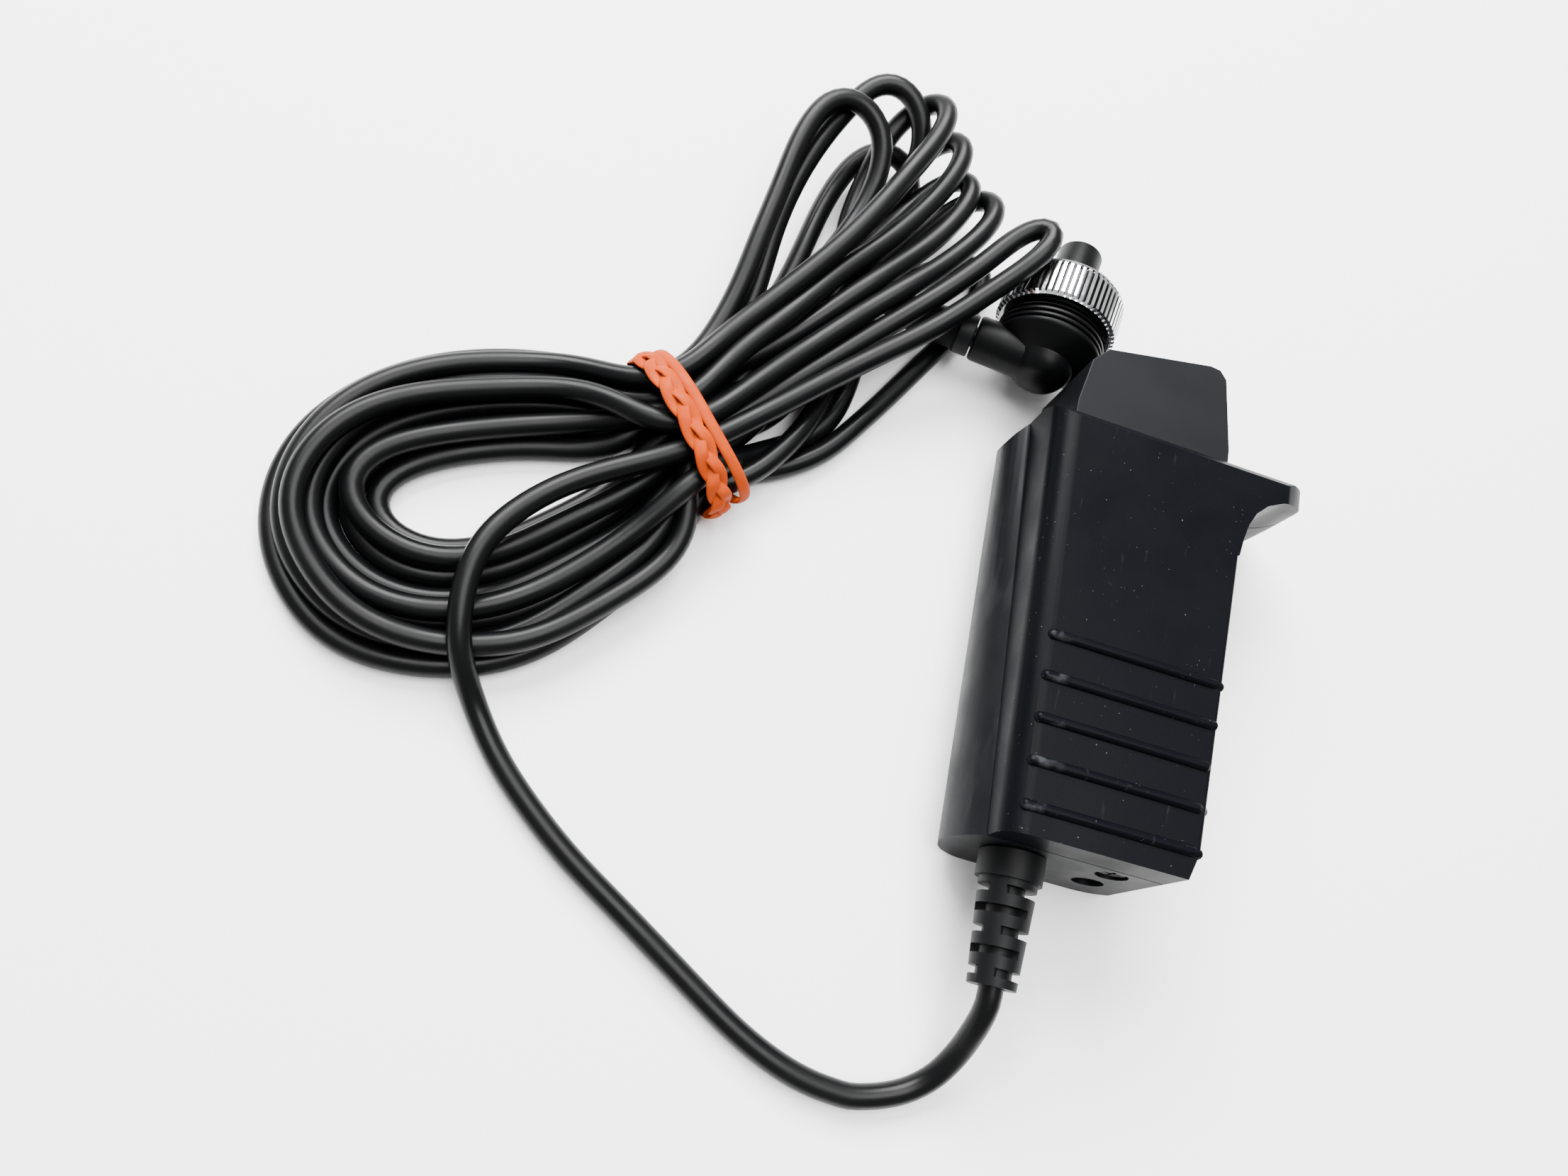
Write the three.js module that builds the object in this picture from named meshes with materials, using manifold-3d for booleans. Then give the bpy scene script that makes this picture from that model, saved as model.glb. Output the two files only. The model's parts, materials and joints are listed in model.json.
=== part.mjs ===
// Electric remote release cord for a camera: a pistol grip with a large thumb button,
// a three metre cord wound into a tied bundle, and a right-angle plug with a knurled lock ring.
//
// Millimetres, +Z up. The grip lies on its side: +Y runs along it towards the button, +X is the
// finger side with the hook, -X is the rounded palm side. The origin is at the middle of the
// grip's footprint, on the surface that it lies on.

import * as THREE from 'three';
import { mergeVertices } from 'three/addons/utils/BufferGeometryUtils.js';
import Module from 'manifold-3d';

const wasm = await Module();
wasm.setup();

// ---------------------------------------------------------------- driving dimensions

const THICK = 27;                 // grip thickness, from the surface to the label face
const WALL = 2;                   // shell wall
const GAP = 0.3;                  // clearance between pieces that touch
const FOOT_Y = -37.4;             // end plate, at the surface
const FOOT_LABEL_Y = -35.6;       // end of the label face
const RIM_Y = 37.4;               // rim of the label face, by the button
const RIM_LOW_Y = 41.6;           // rim below the parting line
const RIM_CHAMFER = 1.4;
const PALM_X = -20.9;             // outermost point of the palm swell
const HOOK_TIP_X = 34.6;          // outermost point of the finger hook
const BUTTON_TOP_Y = 56.6;
const CENTRE = new THREE.Vector3((PALM_X + HOOK_TIP_X) / 2, (FOOT_Y + BUTTON_TOP_Y) / 2, 0);

const PART_LINE_FOOT_Z = 20;      // parting line between the shells, at the end plate
const PART_LINE_RIM_Z = 14;       // and at the rim
const RIB_COUNT = 5;
const RIB_PITCH = 6.9;
const RIB_FIRST_Y = -3.8;
const RIB_START_X = -12.3;
const RIB_RADIUS = 0.95;

const CORD_RADIUS = 2;
const EXIT_X = -7.4;              // centre line of the cord's exit
const EXIT_Z = 13;
const BOOT_END_Y = -57.4;

const PLUG_X = -16.7;             // where the plug's axis meets the side arm's axis
const PLUG_Y = 53.7;
const PLUG_Z = 11.6;
const PLUG_TURN = -0.15;          // the plug's axis leans towards +X by this many radians
const PLUG_ROLL = -0.15;          // and the side arm dips towards the surface by as much
const RING_RADIUS = 11.4;
const RING_LENGTH = 8;

// ---------------------------------------------------------------- materials

function plastic(color, roughness) {
  return new THREE.MeshStandardMaterial({ color, roughness, metalness: 0 });
}

function metal(color, roughness) {
  return new THREE.MeshStandardMaterial({ color, roughness, metalness: 1 });
}

const blackPlastic = plastic(0x15171a, 0.45);
const greyPlastic = plastic(0x24272a, 0.6);
const buttonPlastic = plastic(0x17191c, 0.5);
const innerPlastic = plastic(0x3a3d40, 0.6);
const softRubber = plastic(0x101113, 0.65);
const cordVinyl = plastic(0x0d0e10, 0.4);
const bandRubber = plastic(0xe2552a, 0.6);
const redWire = plastic(0x9c2018, 0.5);
const yellowWire = plastic(0xb8902a, 0.5);
const chrome = metal(0xd8dadc, 0.15);
const brass = metal(0xb08d4a, 0.35);
const steel = metal(0x9a9da0, 0.3);

// ---------------------------------------------------------------- solids

// A closed three.js geometry becomes a manifold solid, turned right side out.
function solidOf(geometry) {
  const plain = geometry.clone();
  plain.deleteAttribute('normal');
  plain.deleteAttribute('uv');
  const merged = mergeVertices(plain, 1e-4);
  const triVerts = Uint32Array.from(merged.index.array);
  const positions = merged.attributes.position;
  if (signedVolume(positions, triVerts) < 0) {
    for (let i = 0; i < triVerts.length; i += 3) {
      const second = triVerts[i + 1];
      triVerts[i + 1] = triVerts[i + 2];
      triVerts[i + 2] = second;
    }
  }
  const vertProperties = Float32Array.from(positions.array);
  return new wasm.Manifold(new wasm.Mesh({ numProp: 3, vertProperties, triVerts }));
}

function signedVolume(positions, index) {
  const a = new THREE.Vector3();
  const b = new THREE.Vector3();
  const c = new THREE.Vector3();
  let volume = 0;
  for (let i = 0; i < index.length; i += 3) {
    a.fromBufferAttribute(positions, index[i]);
    b.fromBufferAttribute(positions, index[i + 1]);
    c.fromBufferAttribute(positions, index[i + 2]);
    volume += a.dot(b.cross(c)) / 6;
  }
  return volume;
}

function geometryOf(solid) {
  const mesh = solid.getMesh();
  const geometry = new THREE.BufferGeometry();
  const positions = Float32Array.from(mesh.vertProperties);
  geometry.setAttribute('position', new THREE.BufferAttribute(positions, 3));
  geometry.setIndex(new THREE.BufferAttribute(Uint32Array.from(mesh.triVerts), 1));
  geometry.computeVertexNormals();
  return geometry;
}

function box(x0, x1, y0, y1, z0, z1) {
  const geometry = new THREE.BoxGeometry(x1 - x0, y1 - y0, z1 - z0);
  geometry.translate((x0 + x1) / 2, (y0 + y1) / 2, (z0 + z1) / 2);
  return solidOf(geometry);
}

function extrude(points, depth) {
  const shape = new THREE.Shape(points.map(([u, v]) => new THREE.Vector2(u, v)));
  return new THREE.ExtrudeGeometry(shape, { depth, bevelEnabled: false, steps: 1 });
}

// A prism whose outline is drawn in plan, x and y, standing from z0 to z1.
function prismUp(points, z0, z1) {
  return solidOf(extrude(points, z1 - z0).translate(0, 0, z0));
}

// A prism whose outline is drawn from the side, y and z, running from x0 to x1.
function prismAcross(points, x0, x1) {
  const turn = new THREE.Matrix4().makeBasis(
    new THREE.Vector3(0, 1, 0), new THREE.Vector3(0, 0, 1), new THREE.Vector3(1, 0, 0));
  return solidOf(extrude(points, x1 - x0).applyMatrix4(turn).translate(x0, 0, 0));
}

// A prism whose outline is drawn from the end, x and z, running from y0 to y1.
function prismAlong(points, y0, y1) {
  const turn = new THREE.Matrix4().makeRotationX(Math.PI / 2);
  return solidOf(extrude(points, y1 - y0).applyMatrix4(turn).translate(0, y1, 0));
}

function rod(axis, radius, from, to, sides = 16, endRadius = radius) {
  const length = to - from;
  const geometry = new THREE.CylinderGeometry(endRadius, radius, length, sides);
  geometry.translate(0, (from + to) / 2, 0);
  if (axis === 'x') geometry.rotateZ(-Math.PI / 2);
  if (axis === 'z') geometry.rotateX(Math.PI / 2);
  return solidOf(geometry);
}

// A ring or turned piece about the Y axis; the profile is closed on itself or on the axis.
function turned(profile, sides = 24) {
  return solidOf(new THREE.LatheGeometry(profile.map(([r, y]) => new THREE.Vector2(r, y)), sides));
}

function circle(radius, sides) {
  const shape = new THREE.Shape();
  for (let i = 0; i < sides; i += 1) {
    const angle = (i / sides) * 2 * Math.PI;
    const x = radius * Math.cos(angle);
    const y = radius * Math.sin(angle);
    if (i === 0) shape.moveTo(x, y);
    else shape.lineTo(x, y);
  }
  shape.closePath();
  return shape;
}

function sweep(curve, radius, sides, steps) {
  return solidOf(new THREE.ExtrudeGeometry(circle(radius, sides), { extrudePath: curve, steps }));
}

function curveThrough(points) {
  const places = points.map((point) => new THREE.Vector3(...point));
  return new THREE.CatmullRomCurve3(places, false, 'centripetal');
}

function arc(centreU, centreV, radiusU, radiusV, fromDegrees, toDegrees, steps) {
  const points = [];
  for (let i = 0; i <= steps; i += 1) {
    const angle = THREE.MathUtils.degToRad(fromDegrees + ((toDegrees - fromDegrees) * i) / steps);
    points.push([centreU + radiusU * Math.cos(angle), centreV + radiusV * Math.sin(angle)]);
  }
  return points;
}

// ---------------------------------------------------------------- the assembly

const grip = new THREE.Group();
grip.position.set(-CENTRE.x, -CENTRE.y, 0);

const plug = new THREE.Group();
plug.position.set(PLUG_X, PLUG_Y, PLUG_Z);
plug.rotation.set(0, PLUG_ROLL, PLUG_TURN, 'ZYX');
grip.add(plug);

function addPiece(name, solid, material, parent = grip) {
  const mesh = new THREE.Mesh(geometryOf(solid), material);
  mesh.name = name;
  parent.add(mesh);
  return mesh;
}

// ---------------------------------------------------------------- grip shells

const leftWallX = (y) => -14.9 - (2.5 * (y - FOOT_Y)) / (RIM_Y - FOOT_Y);
const rightWallX = (y) => 17.1 + (1.6 * (y - FOOT_Y)) / (RIM_Y - FOOT_Y);
const partLineZ = (y) => PART_LINE_FOOT_Z
  + ((PART_LINE_RIM_Z - PART_LINE_FOOT_Z) * (y - FOOT_LABEL_Y)) / (RIM_Y - FOOT_LABEL_Y);

// Cross-section of the grip at one station: flat label face above, palm swell on the left.
function gripSection(y, inset) {
  const left = leftWallX(y) + inset;
  const right = rightWallX(y) - inset;
  const top = THICK - inset;
  const shoulder = 4 - inset;
  const swellX = leftWallX(y) + 4.9;
  const swellUp = (partLineZ(y) - 10) / Math.sin(THREE.MathUtils.degToRad(126)) - inset / 2;
  const heel = 8 - inset;
  return [
    ...arc(right - 0.8, top - 0.8, 0.8, 0.8, 0, 90, 3),
    ...arc(left + shoulder, top - shoulder, shoulder, shoulder, 90, 180, 8),
    ...arc(swellX, 10, 8.4 - inset, swellUp, 126, 180, 6),
    ...arc(swellX, 10, 8.4 - inset, 10 - inset, 190, 270, 8),
    ...arc(right - heel, inset + heel, heel, heel, 270, 360, 8),
  ];
}

// A solid skinned over cross-sections that all have the same number of points.
function skinAlong(stations, sectionAt) {
  const rings = stations.map((y) => sectionAt(y).map(([x, z]) => [x, y, z]));
  const count = rings[0].length;
  const positions = rings.flat(2);
  const index = [];
  for (let ring = 0; ring + 1 < rings.length; ring += 1) {
    for (let i = 0; i < count; i += 1) {
      const next = (i + 1) % count;
      const a = ring * count + i;
      const b = ring * count + next;
      index.push(a, b, a + count, b, b + count, a + count);
    }
  }
  for (const [ring, flip] of [[0, false], [rings.length - 1, true]]) {
    const middle = positions.length / 3;
    const sum = rings[ring].reduce((total, [x, , z]) => [total[0] + x, total[1] + z], [0, 0]);
    positions.push(sum[0] / count, stations[ring], sum[1] / count);
    for (let i = 0; i < count; i += 1) {
      const a = ring * count + i;
      const b = ring * count + ((i + 1) % count);
      index.push(...(flip ? [middle, a, b] : [middle, b, a]));
    }
  }
  const geometry = new THREE.BufferGeometry();
  geometry.setAttribute('position', new THREE.Float32BufferAttribute(positions, 3));
  geometry.setIndex(index);
  return solidOf(geometry);
}

const stations = [-44, -20, 5, 30, 48];

// Side view of the grip's ends: the end plate leans out towards the surface, and so does the rim.
function endLimits(inset) {
  return prismAcross([
    [FOOT_Y + inset, -1],
    [FOOT_LABEL_Y + inset, THICK + 3],
    [RIM_Y - RIM_CHAMFER - inset, THICK + 3],
    [RIM_Y - RIM_CHAMFER - inset, THICK],
    [RIM_Y - inset, THICK - RIM_CHAMFER],
    [RIM_LOW_Y - inset, PART_LINE_RIM_Z],
    [RIM_LOW_Y - inset, -1],
  ], -60, 60);
}

// Plan view of the corners: the palm side is cut back beside the button.
function cornerLimits() {
  return prismUp([
    [-14.9, -60], [-17.2, FOOT_Y], [-22, FOOT_Y + 3.2], [-23, 32], [-19.6, 37], [-14.4, 43], [-14, 60],
    [60, 60], [60, FOOT_Y], [16.8, -31.6], [15, FOOT_Y], [14, -60],
  ], -5, THICK + 5);
}

// The finger hook: a flange across the whole thickness, rounded in plan and seen from the button.
function hookSolid() {
  const plan = [
    [12, 17], [18.3, 20], [18.8, 23.4], [19.5, 26.2], [20.7, 28.7], [22.7, 30.8], [25.4, 32.2],
    [29, 33.5], [32.2, 35.2], [34, 36.6], [34.6, 38.4], [34.2, 40.5], [33, 45], [12, 45],
  ];
  const faceOn = arc(19.2, THICK / 2, HOOK_TIP_X - 19.2, THICK / 2 + 1.6, -90, 90, 24);
  return prismUp(plan, 0, THICK).intersect(prismAlong([...faceOn, [10, THICK + 2], [10, -2]], -10, 60));
}

// A finger rib: along the label face from its rounded left end, then down the finger side.
function rib(y) {
  const path = new THREE.CurvePath();
  const wallX = rightWallX(y);
  const corner = 1.6;
  const start = new THREE.Vector3(RIB_START_X, y, THICK - 0.2);
  const bend = new THREE.Vector3(wallX - corner, y, THICK - 0.2);
  const after = new THREE.Vector3(wallX - 0.3, y, THICK - 0.2 - corner);
  path.add(new THREE.LineCurve3(start, bend));
  path.add(new THREE.QuadraticBezierCurve3(bend, new THREE.Vector3(after.x, y, bend.z), after));
  path.add(new THREE.LineCurve3(after, new THREE.Vector3(after.x, y, partLineZ(y) + 1.5)));
  const ball = new THREE.SphereGeometry(RIB_RADIUS, 16, 10).translate(start.x, start.y, start.z);
  return sweep(path, RIB_RADIUS, 16, 20).add(solidOf(ball));
}

const outerBody = skinAlong(stations, (y) => gripSection(y, 0))
  .intersect(cornerLimits())
  .add(hookSolid())
  .intersect(endLimits(0));
const cavity = skinAlong(stations, (y) => gripSection(y, WALL)).intersect(endLimits(WALL));
const buttonMouth = prismAlong([
  [-14.4, 2.6], [11.9, 2.6], [16.9, 7.6], [16.9, THICK - 2.2], [-14.4, THICK - 2.2],
], 26, 60);
const bootHole = rod('y', 4.4, -45, -30, 20).translate([EXIT_X, 0, EXIT_Z]);
const screwX = 8.3;
const screwHeights = [8.2, 16.3];

function partingSolid(offset) {
  return prismAcross([
    [-70, partLineZ(-70) + offset], [-70, 60], [70, 60], [70, partLineZ(70) + offset],
  ], -70, 70);
}

function makeShells() {
  let body = outerBody.subtract(cavity).subtract(buttonMouth).subtract(bootHole);
  for (const z of screwHeights) {
    body = body.subtract(rod('y', 2.7, -45, -30, 16).translate([screwX, 0, z]));
  }
  let label = body.intersect(partingSolid(GAP / 2));
  for (let i = 0; i < RIB_COUNT; i += 1) {
    label = label.add(rib(RIB_FIRST_Y - i * RIB_PITCH).subtract(cavity));
  }
  const palm = body.subtract(partingSolid(-GAP / 2));
  addPiece('label_shell', label, blackPlastic);
  addPiece('palm_shell', palm, greyPlastic);
}

// ---------------------------------------------------------------- button and its guide

const tongue = { x0: -5.5, x1: 7.5, z0: 9, z1: 18, low: 16.4 };
const nub = { x0: 3, x1: 6, z0: 11, z1: 16, low: 14 };
const guide = { y0: 21, y1: 23, x0: -13.4, x1: 14, z0: 4.2, z1: THICK - 3.4 };
const springXs = [-8.6, 10.8];
const springRadius = 1.9;

function makeButton() {
  const face = [
    [-13.6, 31], [-13.4, 41], [-11.9, 49.6], [-9, 52.8], [10.6, BUTTON_TOP_Y], [12.6, 56.4],
    [14, 54.8], [16, 41], [16.2, 31],
  ];
  const endOn = [[-20, 3.4], [11.2, 3.4], [16.4, 8.6], [16.4, THICK - 3], [-20, THICK - 3]];
  const wedge = prismUp(face, 0, THICK)
    .intersect(prismAlong(endOn, 0, 60))
    .subtract(box(-11.2, 13.2, 29, 48, 6.6, THICK - 5.6))
    .add(box(tongue.x0, tongue.x1, tongue.low, 49, tongue.z0, tongue.z1))
    .add(box(nub.x0, nub.x1, nub.low, 17, nub.z0, nub.z1));
  const pinHole = rod('z', 1 + GAP, 0, THICK, 12).translate([0, 18.6, 0]);
  addPiece('trigger_button', wedge.subtract(pinHole), buttonPlastic);
  addPiece('retaining_pin', rod('z', 1, 6, THICK - 5.2, 12).translate([0, 18.6, 0]), steel);
}

function makeGuide() {
  const plate = box(guide.x0, guide.x1, guide.y0, guide.y1, guide.z0, guide.z1)
    .subtract(box(tongue.x0 - 0.4, tongue.x1 + 0.4, 0, 60, tongue.z0 - 0.4, tongue.z1 + 0.4));
  addPiece('button_guide', plate, innerPlastic);
}

// Return springs stand on the guide plate, inside the hollow button.
class Helix extends THREE.Curve {
  constructor(x, z, y0, y1, radius, turns) {
    super();
    Object.assign(this, { x, z, y0, y1, radius, turns });
  }

  getPoint(t, target = new THREE.Vector3()) {
    const angle = t * this.turns * 2 * Math.PI;
    return target.set(
      this.x + this.radius * Math.cos(angle),
      this.y0 + t * (this.y1 - this.y0),
      this.z + this.radius * Math.sin(angle));
  }
}

function makeSprings() {
  springXs.forEach((x, i) => {
    const coil = new Helix(x, 13.5, guide.y1 + 0.8, 47.2, springRadius, 6);
    addPiece(`return_spring_${i}`, sweep(coil, 0.35, 5, 60), steel);
  });
}

// ---------------------------------------------------------------- contacts

const block = { x0: -12.6, x1: -8, y0: -4, y1: 13.5, z0: 8.5, z1: 18.5 };
const leafTops = { common: 11.4, half: 8.2, full: 6.2 };
const leafReach = 6;

function leaf(y, tipSide) {
  const strip = box(block.x1 + GAP, leafReach, y - 0.4, y, 10.5, 16.5);
  const tip = rod('y', 1.1, tipSide > 0 ? y - 0.2 : y - 1, tipSide > 0 ? y + 0.6 : y - 0.2, 10);
  return strip.add(tip.translate([leafReach - 2, 0, 13.5]));
}

function makeContacts() {
  const screwSeats = [1, 11].map((y) => rod('z', 1.5, 0, 30, 12).translate([-10.3, y - 1, 0]));
  let body = box(block.x0, block.x1, block.y0, block.y1, block.z0, block.z1);
  for (const seat of screwSeats) body = body.subtract(seat);
  addPiece('contact_block', body, innerPlastic);
  [0, 10].forEach((y, i) => {
    const shank = rod('z', 1.1, 4, block.z1 + 0.6, 10);
    const head = rod('z', 2.1, block.z1 + GAP, block.z1 + 1.6, 12);
    addPiece(`block_screw_${i}`, shank.add(head).translate([-10.3, y, 0]), steel);
  });
  addPiece('common_leaf', leaf(leafTops.common, -1), brass);
  addPiece('half_press_leaf', leaf(leafTops.half, 1), brass);
  addPiece('full_press_leaf', leaf(leafTops.full, 1), brass);
}

// ---------------------------------------------------------------- cord entry

// A soft boot, its taper cut by slots round a core; two bridges cross each slot, a quarter turn
// on from the last ones.
function makeBoot() {
  const sides = 36;
  const flange = rod('y', 5.2, FOOT_Y + WALL + 1.4, FOOT_Y + WALL + 3.2, sides);
  const neck = rod('y', 4, -38, FOOT_Y + WALL + 1.6, sides);
  const endPlate = prismAcross([
    [FOOT_Y - GAP, -1], [FOOT_LABEL_Y - GAP, THICK + 3], [0, THICK + 3], [0, -1],
  ], -60, 60);
  const collar = rod('y', 5.4, -41, FOOT_LABEL_Y, sides)
    .translate([EXIT_X, 0, EXIT_Z])
    .subtract(endPlate);
  let taper = rod('y', 3.9, BOOT_END_Y, -40.8, sides, 4.8);
  const core = rod('y', 2.9, BOOT_END_Y, -38, sides);
  const slotCount = 5;
  const slotPitch = 3.15;
  const slotHalf = 0.65;
  for (let i = 0; i < slotCount; i += 1) {
    const y = -42.8 - i * slotPitch;
    const bridge = box(-1.3, 1.3, y - 1, y + 1, -9, 9).rotate([0, i % 2 === 0 ? -41 : 49, 0]);
    const slot = rod('y', 8, y - slotHalf, y + slotHalf, sides).subtract(bridge).subtract(core);
    taper = taper.subtract(slot);
  }
  const boot = flange.add(neck).add(taper).translate([EXIT_X, 0, EXIT_Z]).add(collar);
  const bore = rod('y', CORD_RADIUS + 0.2, BOOT_END_Y - 1, -30, 16);
  addPiece('strain_relief', boot.subtract(bore.translate([EXIT_X, 0, EXIT_Z])), softRubber);
}

// What holds the cord and the two shells inside the grip's foot.
function makeClamp() {
  const clamp = box(EXIT_X - 4.6, EXIT_X + 8, -26, -20, 4.4, EXIT_Z + 6)
    .subtract(rod('y', CORD_RADIUS + GAP, -40, -10, 12).translate([EXIT_X, 0, EXIT_Z]))
    .subtract(rod('z', 1.3 + GAP, 0, 30, 12).translate([EXIT_X + 5.2, -23, 0]));
  addPiece('cord_clamp', clamp, innerPlastic);
  const clampShank = rod('z', 1.2, 4.6, EXIT_Z + 6.6, 10);
  const clampHead = rod('z', 2, EXIT_Z + 6.3, EXIT_Z + 7.6, 12);
  addPiece('clamp_screw', clampShank.add(clampHead).translate([EXIT_X + 5.2, -23, 0]), steel);
  const cordEnd = rod('y', CORD_RADIUS, BOOT_END_Y + 0.4, -18, 12);
  addPiece('cord_end', cordEnd.translate([EXIT_X, 0, EXIT_Z]), cordVinyl);

  let anchor = box(screwX - 2.8, screwX + 4, -32.6, -27, 4.2, 20);
  for (const z of screwHeights) {
    anchor = anchor.subtract(rod('y', 1.4, -40, -20, 12).translate([screwX, 0, z]));
  }
  addPiece('screw_anchor', anchor, innerPlastic);
  screwHeights.forEach((z, i) => {
    const head = rod('y', 2.3, -36, -34.6, 16);
    const shank = rod('y', 1.1, -34.8, -28, 12);
    const cross = box(-1.6, 1.6, -37, -35.5, -0.3, 0.3).add(box(-0.3, 0.3, -37, -35.5, -1.6, 1.6));
    addPiece(`shell_screw_${i}`, head.add(shank).subtract(cross).translate([screwX, 0, z]), steel);
  });
}

// Three wires run from the cut end of the cord to the undersides of the leaves.
function makeWires() {
  const wireMaterials = [redWire, cordVinyl, yellowWire];
  const leafYs = [leafTops.common, leafTops.half, leafTops.full];
  leafYs.forEach((y, i) => {
    const endX = -5.4 + 3 * i;
    const wire = curveThrough([
      [EXIT_X - 1.1 + 1.1 * i, -17.5, EXIT_Z], [-7 + 2 * i, -13, 11], [-5.4 + 2.6 * i, -8, 8.4],
      [endX, y - 3.4, 7.4], [endX, y - 0.2, 9.7],
    ]);
    addPiece(`wire_${i}`, sweep(wire, 0.45, 6, 18), wireMaterials[i]);
  });
}

// ---------------------------------------------------------------- cord, bundle and tie

const leadRoute = [
  [EXIT_X, BOOT_END_Y - GAP, EXIT_Z],
  [-7.3, -60.5, 12.2], [-7.6, -63.8, 9.8], [-8.2, -67.4, 6.6], [-10.4, -71.8, 3.7],
  [-14, -74.9, 2.3], [-18.6, -76.8, 2.1], [-23.7, -77.8, 2.1], [-28.6, -77.6, 2.1],
  [-34.8, -76, 2.1], [-42.2, -72.9, 2.1], [-49.4, -68.8, 2.1], [-58.8, -63.2, 2.1],
  [-66.6, -58.6, 2.1], [-75.2, -53.6, 2.1], [-83.2, -47.7, 2.1], [-89.4, -42.4, 2.2],
  [-94.6, -36.2, 3], [-97.2, -32.4, 4.4],
];

// The bundle lies along its own X axis, with the tie at its origin.
const bundle = new THREE.Group();
bundle.position.set(-76, 18.5, 0);
bundle.rotation.z = THREE.MathUtils.degToRad(42.7);
grip.add(bundle);

const waist = { half: 2.6, low: -12.5, high: 14.5, top: 14.5 };
const leftLobe = [
  [-waist.half - GAP, waist.low], [-28, -22],
  ...arc(-42, 5.5, 26.5, 27.5, 265, 95, 12), [-28, 31], [-waist.half - GAP, 19],
];
const rightLobe = [
  [waist.half + GAP, 16], [waist.half + GAP, waist.low], [30, -13.5], [41, -11], [41, 2],
  [46, 13.5], [58, 14.4], [66, 8], [72, 11], [79, 17], [81, 34],
  ...arc(68, 40, 12.5, 11, -10, 110, 6), [50, 48.5], [24, 27],
];

// The tied strands seen end on, as an oval grown outwards by some millimetres.
function waistSection(grow) {
  const middle = (waist.low + waist.high) / 2;
  const halfWidth = waist.high - middle + grow;
  return arc(middle, waist.top / 2 + 0.1, halfWidth, waist.top / 2 + grow, 0, 330, 11);
}

function makeCord() {
  addPiece('cord_lead', sweep(curveThrough(leadRoute), CORD_RADIUS, 8, 44), cordVinyl);
  addPiece('cord_left_lobe', prismUp(leftLobe, 0.1, 15), cordVinyl, bundle);
  addPiece('cord_waist', prismAcross(waistSection(0), -waist.half, waist.half), cordVinyl, bundle);
  addPiece('cord_right_lobe', prismUp(rightLobe, 0.1, 26), cordVinyl, bundle);

  const bandThick = 1;
  const band = prismAcross(waistSection(GAP + bandThick), -1.9, 1.9)
    .subtract(prismAcross(waistSection(GAP), -3, 3))
    .subtract(box(-4, 4, -30, 30, -3, 0.05));
  addPiece('elastic_band', band, bandRubber, bundle);
}

// ---------------------------------------------------------------- plug

// Everything on the plug is built about its own origin: +Y towards the nose, the arm along -X.
const housingEnd = 6.2;
const ringStart = 7.6;
const ARM_END = 13.4;

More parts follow.
